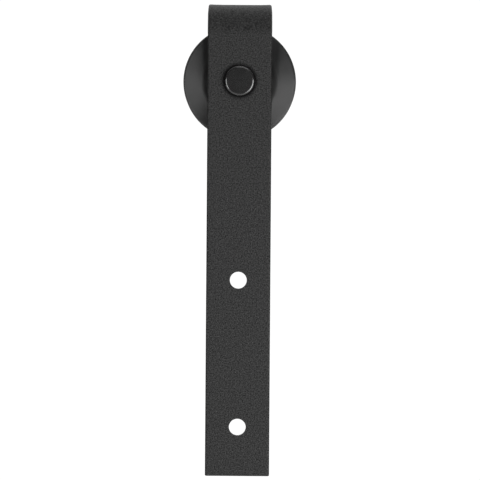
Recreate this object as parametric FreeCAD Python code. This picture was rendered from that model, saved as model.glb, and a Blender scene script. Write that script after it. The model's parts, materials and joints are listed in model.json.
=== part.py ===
"""Strap hanger for a sliding barn door: a flat steel strap bent over a grooved nylon wheel.

Frame, in millimetres: +Z is up, -Y is the room side, +Y is the wall side and +X is to the right.
The origin is the centre of the two door-bolt holes, on the strap's back face, which rests on the door.
The wheel, its ball bearing and the fasteners are turned about the axle, which runs along Y.
"""

import FreeCAD, Part
import math
import os

from FreeCAD import Vector

# ---- driving dimensions ----
STRAP_WIDTH = 40.0
STRAP_THICKNESS = 6.0
STRAP_EDGE_RADIUS = 0.8
DOOR_HOLE_SPACING = 91.5
DOOR_HOLE_DIAMETER = 10.5
HOLE_EDGE_BREAK = 0.3
END_MARGIN = 30.4            # lower door hole to the strap's lower end
HOLE_TO_AXLE = 124.0         # upper door hole to the axle
AXLE_TO_TOP = 49.0           # axle to the top of the bend
LEG_GAP = 28.0               # clear space between the strap's two legs
REAR_LEG_BELOW_AXLE = 20.0
DOOR_TOP_BELOW_AXLE = 45.0   # the strap lies on the door from here down, clear of the wheel

WHEEL_DIAMETER = 70.5
WHEEL_WIDTH = 24.0
TREAD_DIAMETER = 55.0
RIM_WIDTH = 21.2             # the sides taper to this width at the rim
RIM_EDGE_RADIUS = 1.5
RECESS_RADIUS = 23.0
RECESS_FLOOR_RADIUS = 20.2
RECESS_DEPTH = 1.4
RECESS_SHOULDER_RADIUS = 4.0
GROOVE_ROOT_WIDTH = 8.0
GROOVE_LIP_WIDTH = 11.5
BEARING_LIP_RADIUS = 13.0    # the nylon is moulded over the bearing's sides down to here

BEARING_BORE = 10.0
BEARING_OUTSIDE = 30.0
BEARING_WIDTH = 9.0
BEARING_EDGE_RADIUS = 0.3
BALL_DIAMETER = 4.7625
BALL_COUNT = 8
PITCH_DIAMETER = 20.0
RACE_PLAY = 0.025            # radial gap between a ball and each race
RACE_CONFORMITY = 0.52       # race groove radius over ball diameter
INNER_SHOULDER_RADIUS = 8.5
OUTER_SHOULDER_RADIUS = 11.7
SHIELD_SEAT_RADIUS = 12.3
SHIELD_SEAT_DEPTH = 0.9
SHIELD_RIM_HEIGHT = 0.7
SHIELD_SHEET = 0.3
SHIELD_INNER_RADIUS = 8.8
CAGE_SHEET = 0.5
CAGE_INNER_RADIUS = 9.1
CAGE_OUTER_RADIUS = 10.9
CAGE_PLAY = 0.12             # gap between a ball and its pocket
RIVET_RADIUS = 0.4
RIVET_HEAD_RADIUS = 0.7
RIVET_HEAD_HEIGHT = 0.3

AXLE_DIAMETER = 9.98
THREAD_DIAMETER = 9.03       # the threaded end is drawn plain, at the thread's pitch diameter
HEAD_DIAMETER = 18.6
HEAD_HEIGHT = 4.2
HEAD_EDGE_RADIUS = 1.2
HEAD_FOOT_RADIUS = 0.3
NECK_SQUARE = 10.0
NECK_CORNER_RADIUS = 0.5
NECK_LENGTH = 5.2
NECK_HOLE_SQUARE = 10.4
NECK_HOLE_CORNER_RADIUS = 0.6
REAR_HOLE_DIAMETER = 10.4
SHANK_INTO_REAR_LEG = 3.0    # the plain shank ends this far inside the rear leg
SHANK_END_TAPER = 0.5
THREAD_PAST_NUT = 2.5
THREAD_END_CHAMFER = 1.0

SPACER_RADIUS = 8.0
SPACER_BORE_RADIUS = 5.1
SPACER_EDGE_RADIUS = 0.3
WASHER_RADIUS = 10.0
WASHER_BORE_RADIUS = 5.25
WASHER_THICKNESS = 2.0
WASHER_EDGE_RADIUS = 0.25
NUT_ACROSS_FLATS = 17.0
NUT_HEIGHT = 10.0
NUT_HEX_HEIGHT = 6.8
NUT_CROWN_ANGLE = 30.0
NUT_COLLAR_RADIUS = 7.7
NUT_COLLAR_EDGE_RADIUS = 1.2
NUT_MOUTH_CHAMFER = 0.9
INSERT_RADIUS = 6.6
INSERT_HEIGHT = 2.4
COLLAR_LIP = 0.6             # thickness of the collar that is rolled over the insert
COLLAR_LIP_RADIUS = 5.6

# ---- places worked out from them ----
UPPER_HOLE_Z = DOOR_HOLE_SPACING / 2
LOWER_HOLE_Z = -DOOR_HOLE_SPACING / 2
STRAP_BOTTOM_Z = LOWER_HOLE_Z - END_MARGIN
AXLE_Z = UPPER_HOLE_Z + HOLE_TO_AXLE
STRAP_TOP_Z = AXLE_Z + AXLE_TO_TOP
STRAP_LEFT_X = -STRAP_WIDTH / 2
FRONT_FACE_Y = -STRAP_THICKNESS
REAR_LEG_Y = LEG_GAP
REAR_FACE_Y = LEG_GAP + STRAP_THICKNESS
BEND_INNER_RADIUS = LEG_GAP / 2
BEND_OUTER_RADIUS = BEND_INNER_RADIUS + STRAP_THICKNESS
BEND_Z = STRAP_TOP_Z - BEND_OUTER_RADIUS
REAR_LEG_BOTTOM_Z = AXLE_Z - REAR_LEG_BELOW_AXLE
DOOR_TOP_Z = AXLE_Z - DOOR_TOP_BELOW_AXLE
WHEEL_Y = LEG_GAP / 2
BEARING_HALF = BEARING_WIDTH / 2
SPACER_LENGTH = WHEEL_Y - BEARING_HALF
NUT_Y = REAR_FACE_Y + WASHER_THICKNESS
NUT_END_Y = NUT_Y + NUT_HEIGHT
INSERT_TOP_Y = NUT_END_Y - COLLAR_LIP
BALL_RADIUS = BALL_DIAMETER / 2
PITCH_RADIUS = PITCH_DIAMETER / 2
CUP_RADIUS = BALL_RADIUS + CAGE_PLAY + CAGE_SHEET

X_AXIS = Vector(1, 0, 0)
Y_AXIS = Vector(0, 1, 0)


# ---- drawing helpers ----
def rounded_wire(corners, place):
    """Closed wire through corners (a, b, radius), each corner rounded by a tangent arc of its radius.

    place turns a pair (a, b) into a point in space."""
    points = [Vector(a, b, 0) for a, b, _ in corners]
    count = len(points)
    tangents = []
    for i, (_, _, radius) in enumerate(corners):
        back = (points[i - 1] - points[i]).normalize()
        ahead = (points[(i + 1) % count] - points[i]).normalize()
        half = back.getAngle(ahead) / 2
        if radius == 0:
            tangents.append((points[i], points[i], points[i]))
            continue
        reach = radius / math.tan(half)
        to_middle = (back + ahead).normalize()
        middle = points[i] + to_middle * (radius / math.sin(half) - radius)
        tangents.append((points[i] + back * reach, middle, points[i] + ahead * reach))
    edges = []
    for i, (start, middle, end) in enumerate(tangents):
        if corners[i][2]:
            edges.append(Part.Arc(place(start), place(middle), place(end)).toShape())
        following = tangents[(i + 1) % count][0]
        if (following - end).Length > 1e-6:
            edges.append(Part.LineSegment(place(end), place(following)).toShape())
    return Part.Wire(edges)


def turned(corners, y=0.0):
    """Solid turned about the axle, from corners (radius, distance along Y, corner radius)."""
    wire = rounded_wire(corners, lambda p: Vector(p.x, p.y + y, 0))
    solid = Part.Face(wire).revolve(Vector(0, 0, 0), Y_AXIS, 360)
    solid.translate(Vector(0, 0, AXLE_Z))
    return solid


def ring(inner, outer, y_from, y_to, edge=0.0):
    """Plain ring about the axle, with all four edges rounded by edge."""
    return turned([(inner, y_from, edge), (outer, y_from, edge), (outer, y_to, edge), (inner, y_to, edge)])


def rod(radius, y_from, y_to):
    """Cylinder on the axle."""
    return Part.makeCylinder(radius, y_to - y_from, Vector(0, y_from, AXLE_Z), Y_AXIS)


def square_bar(side, y_from, y_to, corner):
    """Square bar on the axle with its four long edges rounded by corner."""
    bar = Part.makeBox(side, y_to - y_from, side, Vector(-side / 2, y_from, AXLE_Z - side / 2))
    long_edges = [e for e in bar.Edges if abs(e.tangentAt(e.FirstParameter).y) > 0.99]
    return bar.makeFillet(corner, long_edges)


def around(angle, radius, y):
    """Point at an angle in degrees round the axle, measured from +Z towards +X."""
    turn = math.radians(angle)
    return Vector(radius * math.sin(turn), y, AXLE_Z + radius * math.cos(turn))


# ---- strap ----
def broken_hole(diameter, z, y_from, y_to):
    """Cutter for a round hole along Y with both its edges broken by a small chamfer."""
    radius = diameter / 2
    wide = radius + HOLE_EDGE_BREAK
    hole = Part.makeCylinder(radius, y_to - y_from, Vector(0, y_from, z), Y_AXIS)
    near = Part.makeCone(wide, radius, HOLE_EDGE_BREAK, Vector(0, y_from, z), Y_AXIS)
    far = Part.makeCone(radius, wide, HOLE_EDGE_BREAK, Vector(0, y_to - HOLE_EDGE_BREAK, z), Y_AXIS)
    return hole.fuse([near, far])


def strap_side(y, z):
    """Point on the strap's left side."""
    return Vector(STRAP_LEFT_X, y, z)


def strap_bar():
    """The bent bar before its holes are cut, with its edges rounded.

    The lines where the bend starts, and where the back face leaves the door, only divide smooth faces."""
    front_bend = strap_side(FRONT_FACE_Y, BEND_Z)
    rear_bend = strap_side(REAR_FACE_Y, BEND_Z)
    outer_top = strap_side(WHEEL_Y, STRAP_TOP_Z)
    inner_top = strap_side(WHEEL_Y, BEND_Z + BEND_INNER_RADIUS)
    front_inside = strap_side(0, BEND_Z)
    rear_inside = strap_side(REAR_LEG_Y, BEND_Z)
    front_end = strap_side(FRONT_FACE_Y, STRAP_BOTTOM_Z)
    front_end_inside = strap_side(0, STRAP_BOTTOM_Z)
    door_top = strap_side(0, DOOR_TOP_Z)
    rear_end = strap_side(REAR_FACE_Y, REAR_LEG_BOTTOM_Z)
    rear_end_inside = strap_side(REAR_LEG_Y, REAR_LEG_BOTTOM_Z)
    outline = Part.Wire([
        Part.LineSegment(front_end, front_bend).toShape(),
        Part.Arc(front_bend, outer_top, rear_bend).toShape(),
        Part.LineSegment(rear_bend, rear_end).toShape(),
        Part.LineSegment(rear_end, rear_end_inside).toShape(),
        Part.LineSegment(rear_end_inside, rear_inside).toShape(),
        Part.Arc(rear_inside, inner_top, front_inside).toShape(),
        Part.LineSegment(front_inside, door_top).toShape(),
        Part.LineSegment(door_top, front_end_inside).toShape(),
        Part.LineSegment(front_end_inside, front_end).toShape(),
    ])
    bar = Part.Face(outline).extrude(X_AXIS * STRAP_WIDTH)
    rounded = []
    for edge in bar.Edges:
        box = edge.BoundBox
        level = box.ZLength < 1e-6
        divides_a_face = level and min(abs(box.ZMin - BEND_Z), abs(box.ZMin - DOOR_TOP_Z)) < 1e-6
        if not divides_a_face:
            rounded.append(edge)
    return bar.makeFillet(STRAP_EDGE_RADIUS, rounded)


def hanger_strap():
    """Flat bar with a long front leg, a half-circle bend over the wheel and a short rear leg."""
    cutters = [
        broken_hole(DOOR_HOLE_DIAMETER, UPPER_HOLE_Z, FRONT_FACE_Y, 0),
        broken_hole(DOOR_HOLE_DIAMETER, LOWER_HOLE_Z, FRONT_FACE_Y, 0),
        broken_hole(REAR_HOLE_DIAMETER, AXLE_Z, REAR_LEG_Y, REAR_FACE_Y),
        square_bar(NECK_HOLE_SQUARE, FRONT_FACE_Y, 0, NECK_HOLE_CORNER_RADIUS),
    ]
    return strap_bar().cut(cutters)


# ---- wheel ----
def wheel():
    """Nylon wheel moulded over the bearing, with tapered sides, a recess round the hub and a rail groove."""
    face = WHEEL_WIDTH / 2
    floor = face - RECESS_DEPTH
    outside = WHEEL_DIAMETER / 2
    seat = BEARING_OUTSIDE / 2
    side = [
        (seat, BEARING_HALF, 0.0),
        (BEARING_LIP_RADIUS, BEARING_HALF, 0.0),
        (BEARING_LIP_RADIUS, floor, 0.5),
        (RECESS_FLOOR_RADIUS, floor, 2.5),
        (RECESS_RADIUS, face, RECESS_SHOULDER_RADIUS),
        (outside, RIM_WIDTH / 2, RIM_EDGE_RADIUS),
        (outside, GROOVE_LIP_WIDTH / 2, 1.2),
        (TREAD_DIAMETER / 2, GROOVE_ROOT_WIDTH / 2, 0.8),
    ]
    mirrored = [(radius, -y, edge) for radius, y, edge in reversed(side)]
    return turned(side + mirrored, WHEEL_Y)


# ---- ball bearing ----
def race_cutter(outward):
    """Torus that cuts a ring's race, set off the pitch circle so that the balls have a little play."""
    groove = RACE_CONFORMITY * BALL_DIAMETER
    shift = groove - BALL_RADIUS - RACE_PLAY
    major = PITCH_RADIUS - shift if outward else PITCH_RADIUS + shift
    return Part.makeTorus(major, groove, Vector(0, WHEEL_Y, AXLE_Z), Y_AXIS)


def bearing_inner_ring():
    """Ring on the axle with a race in its outside."""
    ends = (WHEEL_Y - BEARING_HALF, WHEEL_Y + BEARING_HALF)
    blank = ring(BEARING_BORE / 2, INNER_SHOULDER_RADIUS, *ends, BEARING_EDGE_RADIUS)
    return blank.cut(race_cutter(False))


def bearing_outer_ring():
    """Ring in the wheel with a race in its bore and a seat for a shield in each side."""
    seat = BEARING_HALF - SHIELD_SEAT_DEPTH
    side = [
        (OUTER_SHOULDER_RADIUS, seat, 0.0),
        (SHIELD_SEAT_RADIUS, seat, 0.0),
        (SHIELD_SEAT_RADIUS, BEARING_HALF, 0.0),
        (BEARING_OUTSIDE / 2, BEARING_HALF, BEARING_EDGE_RADIUS),
    ]
    mirrored = [(radius, -y, edge) for radius, y, edge in reversed(side)]
    return turned(side + mirrored, WHEEL_Y).cut(race_cutter(True))


def bearing_shield(side):
    """Pressed sheet disc that closes one side of the bearing. side is -1 for the front and 1 for the rear."""
    seat = BEARING_HALF - SHIELD_SEAT_DEPTH
    rim_inside = SHIELD_SEAT_RADIUS - SHIELD_SHEET
    corners = [
        (SHIELD_INNER_RADIUS, 0, 0.0),
        (SHIELD_SEAT_RADIUS, 0, 0.0),
        (SHIELD_SEAT_RADIUS, SHIELD_RIM_HEIGHT, 0.1),
        (rim_inside, SHIELD_RIM_HEIGHT, 0.1),
        (rim_inside, SHIELD_SHEET, 0.15),
        (SHIELD_INNER_RADIUS, SHIELD_SHEET, 0.1),
    ]
    placed = [(radius, side * (seat + height), edge) for radius, height, edge in corners]
    return turned(placed, WHEEL_Y)


def ball_angles():
    """Angle of each ball round the axle, in degrees."""
    return [360.0 / BALL_COUNT * i for i in range(BALL_COUNT)]


def rivet_angles():
    """Angle of each cage rivet, midway between two balls."""
    return [angle + 180.0 / BALL_COUNT for angle in ball_angles()]


def bearing_ball(angle):
    """One steel ball on the pitch circle."""
    return Part.makeSphere(BALL_RADIUS, around(angle, PITCH_RADIUS, WHEEL_Y))


def rivet_shank(angle):
    """The part of a rivet that passes through both cage halves."""
    start = around(angle, PITCH_RADIUS, WHEEL_Y - CAGE_SHEET)
    return Part.makeCylinder(RIVET_RADIUS, 2 * CAGE_SHEET, start, Y_AXIS)


def cage_rear_half():
    """Half of the riveted sheet cage: a flat band with a cup over each ball."""
    band = ring(CAGE_INNER_RADIUS, CAGE_OUTER_RADIUS, WHEEL_Y, WHEEL_Y + CAGE_SHEET)
    cup_space = ring(CAGE_INNER_RADIUS, CAGE_OUTER_RADIUS, WHEEL_Y, WHEEL_Y + CUP_RADIUS + 1)
    centres = [around(angle, PITCH_RADIUS, WHEEL_Y) for angle in ball_angles()]
    cups = [Part.makeSphere(CUP_RADIUS, centre).common(cup_space) for centre in centres]
    pockets = [Part.makeSphere(BALL_RADIUS + CAGE_PLAY, centre) for centre in centres]
    rivets = [rivet_shank(angle) for angle in rivet_angles()]
    return band.fuse(cups).cut(pockets + rivets).removeSplitter()


def cage_front_half():
    """The other half, the same shape facing the room."""
    return cage_rear_half().mirror(Vector(0, WHEEL_Y, 0), Y_AXIS)


def cage_rivets():
    """The cage's rivets, each a separate solid."""
    rivets = []
    for angle in rivet_angles():
        pieces = []
        for face in (WHEEL_Y - CAGE_SHEET - RIVET_HEAD_HEIGHT, WHEEL_Y + CAGE_SHEET):
            foot = around(angle, PITCH_RADIUS, face)
            pieces.append(Part.makeCylinder(RIVET_HEAD_RADIUS, RIVET_HEAD_HEIGHT, foot, Y_AXIS))
        rivets.append(rivet_shank(angle).fuse(pieces).removeSplitter())
    return Part.makeCompound(rivets)


# ---- axle and fasteners ----
def axle_bolt():
    """Low round head, square neck that locks in the strap, plain shank and threaded end."""
    head = turned([
        (0, FRONT_FACE_Y - HEAD_HEIGHT, 0.0),
        (HEAD_DIAMETER / 2, FRONT_FACE_Y - HEAD_HEIGHT, HEAD_EDGE_RADIUS),
        (HEAD_DIAMETER / 2, FRONT_FACE_Y, HEAD_FOOT_RADIUS),
        (0, FRONT_FACE_Y, 0.0),
    ])
    neck = square_bar(NECK_SQUARE, FRONT_FACE_Y, FRONT_FACE_Y + NECK_LENGTH, NECK_CORNER_RADIUS)
    shank_end = REAR_LEG_Y + SHANK_INTO_REAR_LEG
    thread_end = NUT_END_Y + THREAD_PAST_NUT
    shank_radius = AXLE_DIAMETER / 2
    thread_radius = THREAD_DIAMETER / 2
    shaft = turned([
        (0, FRONT_FACE_Y, 0.0),
        (shank_radius, FRONT_FACE_Y, 0.0),
        (shank_radius, shank_end, 0.0),
        (thread_radius, shank_end + SHANK_END_TAPER, 0.0),
        (thread_radius, thread_end - THREAD_END_CHAMFER, 0.0),
        (thread_radius - THREAD_END_CHAMFER, thread_end, 0.0),
        (0, thread_end, 0.0),
    ])
    return head.fuse([neck, shaft]).removeSplitter()


def bearing_spacer(y_from):
    """Tube that holds the bearing's inner ring off the strap."""
    return ring(SPACER_BORE_RADIUS, SPACER_RADIUS, y_from, y_from + SPACER_LENGTH, SPACER_EDGE_RADIUS)


def flat_washer():
    """Plain washer under the nut."""
    return ring(WASHER_BORE_RADIUS, WASHER_RADIUS, REAR_FACE_Y, NUT_Y, WASHER_EDGE_RADIUS)


def hexagon():
    """The nut's hexagonal body, with both ends crowned so that the corners are turned off."""
    corner_radius = NUT_ACROSS_FLATS / math.sqrt(3)
    points = [around(60 * i + 30, corner_radius, NUT_Y) for i in range(7)]
    prism = Part.Face(Part.makePolygon(points)).extrude(Y_AXIS * NUT_HEX_HEIGHT)
    start = NUT_ACROSS_FLATS / 2 - 0.2
    beyond = corner_radius + 0.2
    drop = (beyond - start) * math.tan(math.radians(NUT_CROWN_ANGLE))
    crown = turned([
        (0, 0, 0.0),
        (start, 0, 0.0),
        (beyond, drop, 0.0),
        (beyond, NUT_HEX_HEIGHT - drop, 0.0),
        (start, NUT_HEX_HEIGHT, 0.0),
        (0, NUT_HEX_HEIGHT, 0.0),
    ], NUT_Y)
    return prism.common(crown)


def lock_nut():
    """Hexagon nut with a round collar that is rolled over its locking insert."""
    collar = turned([
        (0, NUT_HEX_HEIGHT - 1, 0.0),
        (NUT_COLLAR_RADIUS, NUT_HEX_HEIGHT - 1, 0.0),
        (NUT_COLLAR_RADIUS, NUT_HEIGHT, NUT_COLLAR_EDGE_RADIUS),
        (0, NUT_HEIGHT, 0.0),
    ], NUT_Y)
    bore_radius = THREAD_DIAMETER / 2
    mouth_radius = bore_radius + NUT_MOUTH_CHAMFER
    mouth = Part.makeCone(mouth_radius, bore_radius, NUT_MOUTH_CHAMFER, Vector(0, NUT_Y, AXLE_Z), Y_AXIS)
    cutters = [
        rod(bore_radius, NUT_Y, NUT_END_Y),
        rod(INSERT_RADIUS, INSERT_TOP_Y - INSERT_HEIGHT, INSERT_TOP_Y),
        rod(COLLAR_LIP_RADIUS, INSERT_TOP_Y, NUT_END_Y),
        mouth,
    ]
    return hexagon().fuse(collar).cut(cutters).removeSplitter()


def lock_nut_insert():
    """Nylon ring that grips the thread."""
    return ring(THREAD_DIAMETER / 2, INSERT_RADIUS, INSERT_TOP_Y - INSERT_HEIGHT, INSERT_TOP_Y)


def all_parts():
    """Every sub-part by its node name."""
    parts = {
        "hanger_strap": hanger_strap(),
        "wheel": wheel(),
        "axle_bolt": axle_bolt(),
        "front_spacer": bearing_spacer(0),
        "rear_spacer": bearing_spacer(REAR_LEG_Y - SPACER_LENGTH),
        "flat_washer": flat_washer(),
        "lock_nut": lock_nut(),
        "lock_nut_insert": lock_nut_insert(),
        "bearing_inner_ring": bearing_inner_ring(),
        "bearing_outer_ring": bearing_outer_ring(),
        "bearing_front_shield": bearing_shield(-1),
        "bearing_rear_shield": bearing_shield(1),
        "cage_front_half": cage_front_half(),
        "cage_rear_half": cage_rear_half(),
        "cage_rivets": cage_rivets(),
    }
    for number, angle in enumerate(ball_angles(), start=1):
        parts[f"bearing_ball_{number}"] = bearing_ball(angle)
    return parts


def main():
    os.makedirs("parts", exist_ok=True)
    for name, shape in all_parts().items():
        shape.exportStep(f"parts/{name}.step")
        state = "valid" if shape.isValid() else "NOT VALID"
        print(f"{name}: {len(shape.Solids)} solid(s), {shape.Volume:.1f} mm3, {state}")


main()
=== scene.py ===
"""Looks of the sliding barn door hanger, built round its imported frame. Lengths are in metres.

The frame has +Z up, -Y towards the room and +Y towards the door and wall. The strap and the axle bolt
are rebuilt here in finer shape; the other CAD nodes stay and get their materials.
"""

import json
import math

import bmesh
import bpy
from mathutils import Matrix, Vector


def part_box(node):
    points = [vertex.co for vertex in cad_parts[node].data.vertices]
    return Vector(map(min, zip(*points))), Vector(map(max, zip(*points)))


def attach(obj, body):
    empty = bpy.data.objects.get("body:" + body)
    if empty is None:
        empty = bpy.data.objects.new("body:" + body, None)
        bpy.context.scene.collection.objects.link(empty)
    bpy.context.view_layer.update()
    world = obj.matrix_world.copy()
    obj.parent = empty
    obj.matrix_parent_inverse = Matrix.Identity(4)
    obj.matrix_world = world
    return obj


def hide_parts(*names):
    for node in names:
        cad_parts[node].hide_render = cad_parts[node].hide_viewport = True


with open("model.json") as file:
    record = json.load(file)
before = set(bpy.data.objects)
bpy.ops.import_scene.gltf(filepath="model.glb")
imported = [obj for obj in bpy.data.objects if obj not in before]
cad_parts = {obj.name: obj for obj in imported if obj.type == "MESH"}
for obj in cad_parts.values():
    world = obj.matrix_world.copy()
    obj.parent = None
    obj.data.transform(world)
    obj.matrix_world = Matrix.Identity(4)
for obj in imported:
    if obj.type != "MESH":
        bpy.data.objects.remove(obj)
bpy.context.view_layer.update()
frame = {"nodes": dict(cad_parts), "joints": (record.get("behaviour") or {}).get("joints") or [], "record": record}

MM = 0.001

# ---- sizes read from the frame ----
mounts = {mount["name"]: mount for mount in frame["record"]["mounts"]}
joints = {joint["name"]: joint for joint in frame["joints"]}
AXLE = Vector(joints["wheel_spin"]["pos_m"])
DOOR_BOLTS = mounts["door_bolts"]
DOOR_HOLE_RADIUS = DOOR_BOLTS["dims"]["hole_r_mm"] * MM
DOOR_HOLE_SPACING = DOOR_BOLTS["dims"]["spacing_y_mm"] * MM
STRAP_LOW, STRAP_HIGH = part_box("hanger_strap")
BOLT_LOW, BOLT_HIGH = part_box("axle_bolt")
STRAP_WIDTH = STRAP_HIGH.x - STRAP_LOW.x
THICKNESS = -STRAP_LOW.y                      # the strap's back face is at Y 0
LEG_GAP = STRAP_HIGH.y - THICKNESS
BEND_MIDDLE_RADIUS = (LEG_GAP + THICKNESS) / 2
BEND_Y = LEG_GAP / 2
BEND_Z = STRAP_HIGH.z - LEG_GAP / 2 - THICKNESS
REAR_LEG_END_Z = min(v.co.z for v in frame["nodes"]["hanger_strap"].data.vertices if v.co.y > BEND_Y)

# ---- finer shape that the frame leaves out ----
STRAP_EDGE_RADIUS = 1.2 * MM
END_CORNER_RADIUS = 0.8 * MM
BEND_PULL = 0.30 * MM          # the outside of the bend is narrower by this on each side, the inside wider
BEND_LIFT = 0.25 * MM          # the edges of the bend stand this much proud of its middle
BEND_LIFT_POWER = 5
BEND_RAMP = 7 * MM             # length over which the bend's distortion builds up
BEND_STATIONS = 72
HOLE_EDGE_RADIUS = 0.35 * MM
REAR_HOLE_RADIUS = 5.2 * MM     # takes the shank
NECK_HOLE_SIDE = 10.4 * MM      # takes the square neck
NECK_HOLE_CORNER = 0.6 * MM
CIRCLE_POINTS = 96


# ---- mesh helpers ----
def mesh_object(name, points, faces):
    """New object with this mesh, its normals facing out."""
    mesh = bpy.data.meshes.new(name)
    mesh.from_pydata([tuple(p) for p in points], [], faces)
    built = bmesh.new()
    built.from_mesh(mesh)
    bmesh.ops.recalc_face_normals(built, faces=built.faces)
    built.to_mesh(mesh)
    built.free()
    made = bpy.data.objects.new(name, mesh)
    bpy.context.scene.collection.objects.link(made)
    return made


def stitched(rings):
    """Points and faces of a closed skin over rings of equal length, with flat caps on both ends."""
    size = len(rings[0])
    points = [p for ring in rings for p in ring]
    faces = []
    for row in range(len(rings) - 1):
        for i in range(size):
            j = (i + 1) % size
            faces.append((row * size + i, row * size + j, (row + 1) * size + j, (row + 1) * size + i))
    last = (len(rings) - 1) * size
    faces.append(tuple(range(size)))
    faces.append(tuple(last + i for i in range(size)))
    return points, faces


def shade(made, sharp_degrees):
    """Smooth shading that keeps edges sharper than this angle, with flat faces kept flat."""
    made.data.shade_smooth()
    made.data.set_sharp_from_angle(angle=math.radians(sharp_degrees))
    weighted = made.modifiers.new("weighted_normals", "WEIGHTED_NORMAL")
    weighted.keep_sharp = True


def dress(made, body, material):
    """Material, body and slot of a new piece."""
    made.data.materials.clear()
    made.data.materials.append(material)
    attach(made, body)


def smooth_step(share):
    """share held between 0 and 1 and eased at both ends."""
    share = min(max(share, 0.0), 1.0)
    return share * share * (3 - 2 * share)


# ---- strap ----
def strap_section(width, depth, corner):
    """Points (across, outward) of a rounded rectangle, close together where the bend distorts it."""
    arc_steps = 6
    half_w, half_d = width / 2 - corner, depth / 2 - corner
    flat_steps = 16
    points = []
    middles = [(half_w, half_d), (-half_w, half_d), (-half_w, -half_d), (half_w, -half_d)]
    for turn, (cx, cy) in enumerate(middles):
        for i in range(arc_steps + 1):
            angle = math.radians(90 * turn + 90 * i / arc_steps)
            points.append((cx + corner * math.cos(angle), cy + corner * math.sin(angle)))
        steps = flat_steps if turn % 2 == 0 else 2
        nx, ny = middles[(turn + 1) % len(middles)]
        start = points[-1]
        reach = 90 * (turn + 1)
        end = (nx + corner * math.cos(math.radians(reach)), ny + corner * math.sin(math.radians(reach)))
        for i in range(1, steps):
            share = i / steps
            points.append((start[0] + (end[0] - start[0]) * share, start[1] + (end[1] - start[1]) * share))
    return points


def strap_stations():
    """Stations along the strap: (middle y, middle z, outward y, outward z, end inset, share of bend)."""
    stations = []
    inset_steps = 5
    insets = []
    for i in range(inset_steps + 1):
        angle = math.radians(90 * i / inset_steps)
        insets.append((END_CORNER_RADIUS * (1 - math.sin(angle)), END_CORNER_RADIUS * (1 - math.cos(angle))))
    front_y, rear_y = -THICKNESS / 2, LEG_GAP + THICKNESS / 2
    for inset, rise in insets:
        stations.append((front_y, STRAP_LOW.z + rise, -1.0, 0.0, inset, 0.0))
    leg_length = BEND_Z - STRAP_LOW.z
    leg_steps = 34
    ramp_steps = 6
    for i in range(1, leg_steps):
        z = STRAP_LOW.z + leg_length * i / leg_steps
        if z < BEND_Z - BEND_RAMP / 2 - 1 * MM:
            stations.append((front_y, z, -1.0, 0.0, 0.0, 0.0))
    for i in range(ramp_steps):
        below = BEND_RAMP / 2 * (1 - i / ramp_steps)
        stations.append((front_y, BEND_Z - below, -1.0, 0.0, 0.0, smooth_step(0.5 - below / BEND_RAMP)))
    for i in range(BEND_STATIONS + 1):
        angle = math.pi * i / BEND_STATIONS
        along = BEND_MIDDLE_RADIUS * min(angle, math.pi - angle)
        out_y, out_z = -math.cos(angle), math.sin(angle)
        stations.append((BEND_Y + BEND_MIDDLE_RADIUS * out_y, BEND_Z + BEND_MIDDLE_RADIUS * out_z,
                         out_y, out_z, 0.0, smooth_step(0.5 + along / BEND_RAMP)))
    for i in range(ramp_steps - 1, -1, -1):
        below = BEND_RAMP / 2 * (1 - i / ramp_steps)
        stations.append((rear_y, BEND_Z - below, 1.0, 0.0, 0.0, smooth_step(0.5 - below / BEND_RAMP)))
    rear_length = BEND_Z - REAR_LEG_END_Z
    rear_steps = 7
    for i in range(rear_steps - 1, 0, -1):
        z = REAR_LEG_END_Z + rear_length * i / rear_steps
        if z < BEND_Z - BEND_RAMP / 2 - 1 * MM:
            stations.append((rear_y, z, 1.0, 0.0, 0.0, 0.0))
    for inset, rise in reversed(insets):
        stations.append((rear_y, REAR_LEG_END_Z + rise, 1.0, 0.0, inset, 0.0))
    return stations


def strap_ring(station):
    """One section of the strap in place, drawn in and lifted at its edges where it is bent."""
    y, z, out_y, out_z, inset, bent = station
    corner = max(STRAP_EDGE_RADIUS - inset, 0.1 * MM)
    ring = []
    for across, out in strap_section(STRAP_WIDTH - 2 * inset, THICKNESS - 2 * inset, corner):
        outward_share = out / (THICKNESS / 2)
        sideways = across / (STRAP_WIDTH / 2)
        x = across - bent * BEND_PULL * outward_share * sideways
        lifted = out + bent * BEND_LIFT * abs(sideways) ** BEND_LIFT_POWER
        ring.append(Vector((x, y + lifted * out_y, z + lifted * out_z)))
    return ring


def round_cutter(name, radius, z, y_from, y_to):
    """Turned cutter for a hole along Y whose two edges come out rounded."""
    steps = 5
    profile = [(radius + 3 * HOLE_EDGE_RADIUS, y_from - 1 * MM),
               (radius + HOLE_EDGE_RADIUS, y_from - 0.01 * MM)]
    for i in range(steps + 1):
        angle = math.radians(90 * i / steps)
        rise = HOLE_EDGE_RADIUS * (1 - math.cos(angle))
        profile.append((radius + HOLE_EDGE_RADIUS * (1 - math.sin(angle)), y_from + rise))
    for r, y in reversed(profile[:]):
        profile.append((r, y_from + y_to - y))
    rings = []
    for r, y in profile:
        ring = []
        for i in range(CIRCLE_POINTS):
            angle = 2 * math.pi * i / CIRCLE_POINTS
            ring.append(Vector((r * math.cos(angle), y, z + r * math.sin(angle))))
        rings.append(ring)
    return mesh_object(name, *stitched(rings))


def square_cutter(name, side, corner, z, y_from, y_to):
    """Cutter for the rounded square hole that takes the bolt's neck."""
    rings = []
    for y in (y_from, y_to):
        rings.append([Vector((a, y, z + b)) for a, b in strap_section(side, side, corner)])
    return mesh_object(name, *stitched(rings))


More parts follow.
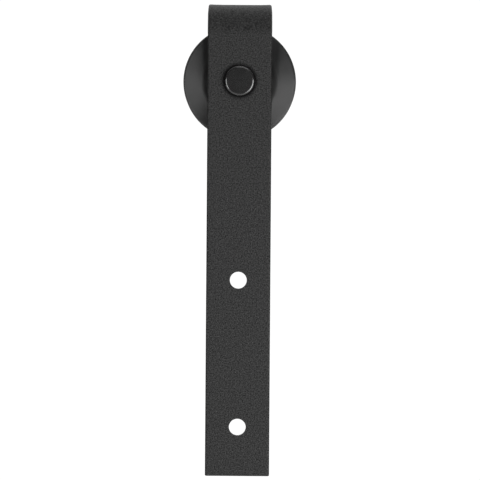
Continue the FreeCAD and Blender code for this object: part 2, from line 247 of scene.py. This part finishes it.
def with_holes(made, cutters):
    """The object with these cutters taken out of it, and the cutters deleted."""
    for cutter in cutters:
        cut = made.modifiers.new(cutter.name, "BOOLEAN")
        cut.operation = "DIFFERENCE"
        cut.solver = "EXACT"
        cut.object = cutter
    scene_now = bpy.context.evaluated_depsgraph_get()
    result = bpy.data.meshes.new_from_object(made.evaluated_get(scene_now))
    made.modifiers.clear()
    made.data = result
    for cutter in cutters:
        bpy.data.objects.remove(cutter)


def build_strap(material):
    """The bent bar as one closed skin, with its four holes cut through."""
    strap = mesh_object("strap_bent_bar", *stitched([strap_ring(s) for s in strap_stations()]))
    over = 1 * MM
    cutters = [
        round_cutter("upper_door_hole", DOOR_HOLE_RADIUS, DOOR_HOLE_SPACING / 2, -THICKNESS, 0),
        round_cutter("lower_door_hole", DOOR_HOLE_RADIUS, -DOOR_HOLE_SPACING / 2, -THICKNESS, 0),
        round_cutter("rear_axle_hole", REAR_HOLE_RADIUS, AXLE.z, LEG_GAP, LEG_GAP + THICKNESS),
        square_cutter("neck_hole", NECK_HOLE_SIDE, NECK_HOLE_CORNER, AXLE.z, -THICKNESS - over, over),
    ]
    with_holes(strap, cutters)
    shade(strap, 40)
    dress(strap, "hanger", material)
    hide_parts("hanger_strap")
    return strap


# ---- axle bolt ----
HEAD_RIM_WIDTH = 1.4 * MM        # the head's edge is rounded wider than it is deep
HEAD_RIM_DEPTH = 1.1 * MM
HEAD_CROWN = 0.12 * MM
HEAD_FOOT_RADIUS = 0.6 * MM
NECK_HALF = 5.0 * MM
NECK_CORNER = 0.5 * MM
NECK_END_Y = -0.8 * MM
SHANK_RADIUS = 4.99 * MM
SHANK_END_Y = LEG_GAP + 3 * MM
THREAD_PITCH = 1.5 * MM
THREAD_PITCH_RADIUS = 4.515 * MM
THREAD_CREST = 4.95 * MM
THREAD_ROOT = 4.10 * MM
THREAD_END_CHAMFER = 1.1 * MM
SHANK_END_TAPER = 0.5 * MM
THREAD_ROWS_PER_TURN = 14


def rounded_square_radius(half, corner, angle):
    """Distance from the middle of a rounded square to its edge in the direction of angle."""
    x, y = abs(math.cos(angle)), abs(math.sin(angle))
    if y > x:
        x, y = y, x
    flat = half / x
    inner = half - corner
    if flat * y <= inner:
        return flat
    along = inner * (x + y)
    return along + math.sqrt(max(along * along - 2 * inner * inner + corner * corner, 0.0))


def thread_radius(angle, y):
    """Radius of the thread's helix at this angle and distance along the axle."""
    phase = (y / THREAD_PITCH - angle / (2 * math.pi)) % 1.0
    ridge = min(max((abs(2 * phase - 1) - 0.15) / 0.65, 0.0), 1.0)
    return THREAD_ROOT + (THREAD_CREST - THREAD_ROOT) * smooth_step(ridge)


def bolt_rows():
    """Rows (y, radius as a function of angle) from the middle of the head to the end of the thread."""
    head_radius = (BOLT_HIGH.x - BOLT_LOW.x) / 2
    face_y, foot_y = BOLT_LOW.y, -THICKNESS
    flat_radius = head_radius - HEAD_RIM_WIDTH
    rows = []

    def plain(y, radius):
        rows.append((y, lambda angle: radius))

    for share in (0.02, 0.2, 0.4, 0.6, 0.8, 0.9, 0.96):
        plain(face_y + HEAD_CROWN * share * share, flat_radius * share)
    steps = 16
    for i in range(steps + 1):
        angle = math.radians(90 * i / steps)
        plain(face_y + HEAD_CROWN + HEAD_RIM_DEPTH * (1 - math.cos(angle)),
              flat_radius + HEAD_RIM_WIDTH * math.sin(angle))
    for i in range(5):
        angle = math.radians(90 * i / 4)
        plain(foot_y - HEAD_FOOT_RADIUS * (1 - math.sin(angle)),
              head_radius - HEAD_FOOT_RADIUS * (1 - math.cos(angle)))
    for y in (foot_y, NECK_END_Y):
        rows.append((y, lambda angle: rounded_square_radius(NECK_HALF, NECK_CORNER, angle)))
    plain(NECK_END_Y, SHANK_RADIUS)
    plain(SHANK_END_Y, SHANK_RADIUS)
    plain(SHANK_END_Y + SHANK_END_TAPER, THREAD_PITCH_RADIUS)
    thread_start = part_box("lock_nut_insert")[1].y
    plain(thread_start, THREAD_PITCH_RADIUS)
    count = math.ceil((BOLT_HIGH.y - thread_start) / THREAD_PITCH * THREAD_ROWS_PER_TURN)
    for i in range(1, count + 1):
        y = thread_start + (BOLT_HIGH.y - thread_start) * i / count
        limit = THREAD_CREST - max(0.0, y - (BOLT_HIGH.y - THREAD_END_CHAMFER))
        rows.append((y, lambda angle, y=y, limit=limit: min(thread_radius(angle, y), limit)))
    return rows


def build_axle_bolt(material):
    """The whole bolt as one closed skin: head, square neck, shank and the thread that shows past the nut."""
    rings = []
    for y, radius_at in bolt_rows():
        ring = []
        for i in range(CIRCLE_POINTS):
            angle = 2 * math.pi * i / CIRCLE_POINTS
            radius = radius_at(angle)
            ring.append(Vector((radius * math.cos(angle), y, AXLE.z + radius * math.sin(angle))))
        rings.append(ring)
    bolt = mesh_object("axle_bolt_turned", *stitched(rings))
    shade(bolt, 40)
    dress(bolt, "hanger", material)
    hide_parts("axle_bolt")
    return bolt


# ---- materials ----
class Surface:
    """A Principled material that is built node by node from object coordinates in metres."""

    def __init__(self, name, colour, roughness, metallic=0.0, specular=0.5):
        self.material = bpy.data.materials.new(name)
        self.material.use_nodes = True
        self.tree = self.material.node_tree
        self.shader = self.tree.nodes["Principled BSDF"]
        self.shader.inputs["Base Color"].default_value = (*colour, 1.0)
        self.shader.inputs["Roughness"].default_value = roughness
        self.shader.inputs["Metallic"].default_value = metallic
        self.shader.inputs["Specular IOR Level"].default_value = specular
        self.place = self.tree.nodes.new("ShaderNodeTexCoord").outputs["Object"]

    def node(self, kind, inputs, **settings):
        """A new node with its settings and inputs; an input that is a socket is linked."""
        made = self.tree.nodes.new(kind)
        for key, value in settings.items():
            setattr(made, key, value)
        for key, value in inputs.items():
            if isinstance(value, bpy.types.NodeSocket):
                self.tree.links.new(value, made.inputs[key])
            else:
                made.inputs[key].default_value = value
        return made

    def noise(self, size, detail=2.0, roughness=0.5, place=None):
        """Noise from 0 to 1 whose features are about size across."""
        inputs = {"Vector": place or self.place, "Scale": 1 / size, "Detail": detail, "Roughness": roughness}
        return self.node("ShaderNodeTexNoise", inputs).outputs["Fac"]

    def cells(self, size):
        """Distance to the middle of the nearest cell, for cells about size across."""
        inputs = {"Vector": self.place, "Scale": 1 / size, "Smoothness": 0.6}
        return self.node("ShaderNodeTexVoronoi", inputs, feature="SMOOTH_F1").outputs["Distance"]

    def spread(self, value, low, high, to_low=0.0, to_high=1.0):
        """value from low to high mapped onto to_low to to_high, and held there outside."""
        inputs = {"Value": value, "From Min": low, "From Max": high, "To Min": to_low, "To Max": to_high}
        return self.node("ShaderNodeMapRange", inputs).outputs["Result"]

    def math(self, operation, first, second=0.0):
        return self.node("ShaderNodeMath", {0: first, 1: second}, operation=operation).outputs["Value"]

    def mix(self, share, first, second):
        """Colour from first to second as share goes from 0 to 1."""
        made = self.node("ShaderNodeMix", {"Factor": share}, data_type="RGBA")
        for socket, value in ((made.inputs[6], first), (made.inputs[7], second)):
            if isinstance(value, bpy.types.NodeSocket):
                self.tree.links.new(value, socket)
            else:
                socket.default_value = (*value, 1.0)
        return made.outputs[2]

    def colour(self, value):
        self.tree.links.new(value, self.shader.inputs["Base Color"])

    def roughness(self, value):
        self.tree.links.new(value, self.shader.inputs["Roughness"])

    def specular(self, value):
        self.tree.links.new(value, self.shader.inputs["Specular IOR Level"])

    def open_share(self, reach):
        """1 on open faces, down to 0 in tight corners that other faces crowd within reach."""
        made = self.node("ShaderNodeAmbientOcclusion", {"Distance": reach}, samples=8)
        return made.outputs["AO"]

    def turned(self, amount):
        """Reflections drawn out across fine rings round the object's Y axis."""
        rings = self.node("ShaderNodeTangent", {}, direction_type="RADIAL", axis="Y")
        self.tree.links.new(rings.outputs["Tangent"], self.shader.inputs["Tangent"])
        self.shader.inputs["Anisotropic"].default_value = amount
        self.shader.inputs["Anisotropic Rotation"].default_value = 0.25

    def bump(self, layers):
        """Bumps one over the other, each (height, strength, depth)."""
        normal = None
        for height, strength, depth in layers:
            inputs = {"Height": height, "Strength": strength, "Distance": depth}
            if normal:
                inputs["Normal"] = normal
            normal = self.node("ShaderNodeBump", inputs).outputs["Normal"]
        self.tree.links.new(normal, self.shader.inputs["Normal"])


def powder_coat():
    """Matt black powder coat: a fine orange-peel grain, with painted shade (colour near black, gloss cut) in tight
    corners such as round the bolt head.
    """
    s = Surface("powder_coat_black", (0.012, 0.012, 0.012), 0.55)
    grain = s.noise(0.5 * MM, detail=2.0, roughness=0.6)
    pebble = s.cells(1.0 * MM)
    mottle = s.noise(0.85 * MM, detail=2.0, roughness=0.6)
    # painted shade: 1 on open faces, falling towards 0 where other faces crowd within 3 mm, read from ambient
    # occlusion
    painted_corner_shade = s.spread(s.open_share(3.0 * MM), 0.55, 0.98, 0.02, 1.0)
    speckle = s.mix(s.spread(mottle, 0.35, 0.65), (0.007, 0.007, 0.007), (0.018, 0.018, 0.018))
    # painted shade: the base colour goes to near black in those tight corners
    s.colour(s.mix(painted_corner_shade, (0.001, 0.001, 0.001), speckle))
    s.roughness(s.spread(grain, 0.3, 0.7, 0.46, 0.62))
    gloss = s.spread(s.math("ADD", mottle, grain), 0.74, 1.26, 0.08, 0.73)
    # painted shade: the gloss is cut in the same tight corners
    s.specular(s.math("MULTIPLY", gloss, painted_corner_shade))
    s.bump([(mottle, 0.9, 0.10 * MM), (pebble, 0.8, 0.10 * MM), (grain, 0.9, 0.08 * MM)])
    return s.material


def satin_black():
    """Black finish of the axle bolt: a satin ground under a thin clear gloss."""
    s = Surface("bolt_satin_black", (0.010, 0.010, 0.010), 0.50, specular=0.22)
    s.shader.inputs["Coat Weight"].default_value = 1.0
    s.shader.inputs["Coat Roughness"].default_value = 0.10
    s.shader.inputs["Coat IOR"].default_value = 1.8
    cloud = s.noise(3.0 * MM, detail=2.0)
    fine = s.noise(0.25 * MM, detail=2.0)
    s.colour(s.mix(s.spread(cloud, 0.3, 0.7), (0.007, 0.007, 0.007), (0.011, 0.011, 0.011)))
    s.roughness(s.spread(cloud, 0.3, 0.7, 0.45, 0.55))
    s.bump([(fine, 0.04, 0.01 * MM)])
    return s.material


def moulded_nylon():
    """Satin black nylon of the wheel."""
    s = Surface("nylon_black", (0.014, 0.014, 0.014), 0.42, specular=0.68)
    cloud = s.noise(6.0 * MM, detail=3.0)
    fine = s.noise(0.3 * MM, detail=3.0)
    s.colour(s.mix(s.spread(cloud, 0.3, 0.7), (0.012, 0.012, 0.012), (0.017, 0.017, 0.017)))
    s.roughness(s.spread(cloud, 0.3, 0.7, 0.40, 0.47))
    s.turned(0.9)
    s.bump([(cloud, 0.15, 0.10 * MM), (fine, 0.3, 0.02 * MM)])
    return s.material


def plated_steel(name, colour, roughness):
    """Plated or ground steel with faint turning marks and a cloudy sheen."""
    s = Surface(name, colour, roughness, metallic=1.0)
    cloud = s.noise(2.5 * MM, detail=3.0)
    stretched = s.node("ShaderNodeMapping", {"Vector": s.place, "Scale": (1.0, 14.0, 1.0)}).outputs["Vector"]
    marks = s.noise(1.2 * MM, detail=2.0, place=stretched)
    dark = tuple(0.82 * c for c in colour)
    s.colour(s.mix(s.spread(cloud, 0.3, 0.7), dark, colour))
    s.roughness(s.spread(cloud, 0.3, 0.7, roughness - 0.06, roughness + 0.08))
    s.bump([(marks, 0.2, 0.01 * MM)])
    return s.material


def natural_nylon():
    """Pale nylon of the insert in the lock nut."""
    s = Surface("nylon_natural", (0.72, 0.70, 0.62), 0.45)
    cloud = s.noise(1.5 * MM)
    s.colour(s.mix(s.spread(cloud, 0.3, 0.7), (0.66, 0.64, 0.56), (0.76, 0.74, 0.67)))
    s.bump([(s.noise(0.3 * MM), 0.2, 0.01 * MM)])
    return s.material


def paint_nodes(finishes):
    """Puts each slot's material on the CAD nodes that use it."""
    for entry in frame["record"]["subparts"]:
        node = frame["nodes"][entry["node"]]
        node.data.materials.clear()
        node.data.materials.append(finishes[entry["material_slot"]])


# ---- studio ----
CAMERA_DISTANCE = 1.75         # from the strap's front face
FRAME_WIDTH = 0.2987           # what the picture's width takes in at that face
SENSOR_WIDTH = 36.0
CAMERA_X = 0.90 * MM
CAMERA_Z = 70.8 * MM
CAMERA_ROLL = 0.40
LIGHT_DISTANCE = 1.2
LIGHT_AIM_Z = 0.1              # height on the strap that the soft boxes face
DOME_TOWARDS = (0.0, 0.62, 0.78)    # middle of the bright part of the dome: above and behind
FLOOR_DROP = 1.2               # the floor's depth below the strap's lower end
FLOOR_HALF = 5.0


def add_camera():
    """Camera square to the strap's front face, rolled a little."""
    data = bpy.data.cameras.new("camera")
    data.sensor_width = SENSOR_WIDTH
    data.lens = SENSOR_WIDTH * CAMERA_DISTANCE / FRAME_WIDTH
    data.clip_start, data.clip_end = 0.05, 50.0
    camera = bpy.data.objects.new("camera", data)
    camera.location = (CAMERA_X, STRAP_LOW.y - CAMERA_DISTANCE, CAMERA_Z)
    camera.rotation_euler = (math.radians(90), math.radians(-CAMERA_ROLL), 0)
    bpy.context.scene.collection.objects.link(camera)
    bpy.context.scene.camera = camera


def soft_box(name, clock, off_axis, width, height, power):
    """Rectangular studio light aimed at the object.

    clock is its direction round the view from the front, in degrees from +X towards +Z, and off_axis its
    angle from the line to the viewer."""
    aim = Vector((0.0, 0.0, LIGHT_AIM_Z))
    clock, off_axis = math.radians(clock), math.radians(off_axis)
    reach = math.sin(off_axis)
    direction = Vector((reach * math.cos(clock), -math.cos(off_axis), reach * math.sin(clock)))
    data = bpy.data.lights.new(name, "AREA")
    data.shape = "RECTANGLE"
    data.size, data.size_y = width, height
    data.energy = power
    light = bpy.data.objects.new(name, data)
    light.location = aim + LIGHT_DISTANCE * direction
    light.rotation_euler = (-direction).to_track_quat("-Z", "Y").to_euler()
    bpy.context.scene.collection.objects.link(light)


def add_world():
    """White beyond the floor, and a dark dome round the object that is bright only above and behind it."""
    world = bpy.data.worlds.new("studio")
    bpy.context.scene.world = world
    world.use_nodes = True
    tree = world.node_tree
    tree.nodes.clear()
    output = tree.nodes.new("ShaderNodeOutputWorld")
    direction = tree.nodes.new("ShaderNodeTexCoord").outputs["Generated"]
    towards = tree.nodes.new("ShaderNodeVectorMath")
    towards.operation = "DOT_PRODUCT"
    towards.inputs[1].default_value = Vector(DOME_TOWARDS).normalized()
    tree.links.new(direction, towards.inputs[0])
    ramp = tree.nodes.new("ShaderNodeMapRange")
    ramp.interpolation_type = "SMOOTHSTEP"
    for key, value in (("From Min", 0.35), ("From Max", 0.85), ("To Min", 0.03), ("To Max", 1.15)):
        ramp.inputs[key].default_value = value
    tree.links.new(towards.outputs["Value"], ramp.inputs["Value"])
    dome = tree.nodes.new("ShaderNodeBackground")
    tree.links.new(ramp.outputs["Result"], dome.inputs["Strength"])
    white = tree.nodes.new("ShaderNodeBackground")
    white.inputs["Strength"].default_value = 1.05
    for background in (dome, white):
        background.inputs["Color"].default_value = (1.0, 1.0, 1.0, 1.0)
    seen = tree.nodes.new("ShaderNodeLightPath").outputs["Is Camera Ray"]
    mix = tree.nodes.new("ShaderNodeMixShader")
    tree.links.new(seen, mix.inputs[0])
    tree.links.new(dome.outputs[0], mix.inputs[1])
    tree.links.new(white.outputs[0], mix.inputs[2])
    tree.links.new(mix.outputs[0], output.inputs["Surface"])


def add_floor():
    """Pale floor well below the hanging strap."""
    height = STRAP_LOW.z - FLOOR_DROP
    half = FLOOR_HALF
    corners = [(-half, -half, height), (half, -half, height), (half, half, height), (-half, half, height)]
    floor = mesh_object("floor", corners, [(0, 1, 2, 3)])
    surface = Surface("floor_pale", (0.92, 0.92, 0.92), 0.8, specular=0.2)
    cloud = surface.noise(60 * MM)
    surface.colour(surface.mix(cloud, (0.91, 0.91, 0.91), (0.93, 0.93, 0.93)))
    floor.data.materials.append(surface.material)


def main():
    finishes = {
        "strap_powder_coat": powder_coat(),
        "bolt_black": satin_black(),
        "wheel_nylon": moulded_nylon(),
        "fastener_black": plated_steel("black_zinc", (0.09, 0.09, 0.095), 0.36),
        "zinc_steel": plated_steel("zinc_plate", (0.50, 0.51, 0.53), 0.34),
        "bearing_steel": plated_steel("ground_steel", (0.60, 0.60, 0.61), 0.24),
        "ball_steel": plated_steel("polished_steel", (0.66, 0.66, 0.67), 0.14),
        "shield_steel": plated_steel("sheet_steel", (0.52, 0.52, 0.53), 0.30),
        "insert_nylon": natural_nylon(),
    }
    paint_nodes(finishes)
    build_strap(finishes["strap_powder_coat"])
    build_axle_bolt(finishes["bolt_black"])
    add_camera()
    add_world()
    add_floor()
    soft_box("right_box", -17, 34, 0.72, 0.80, 9.6)
    soft_box("left_box", 184, 32, 0.36, 0.52, 3.8)
    soft_box("top_box", 75, 48, 0.80, 0.40, 1.7)
    soft_box("back_box", -20, 140, 0.60, 0.60, 3.0)
    bpy.context.scene.view_settings.view_transform = "Standard"


main()
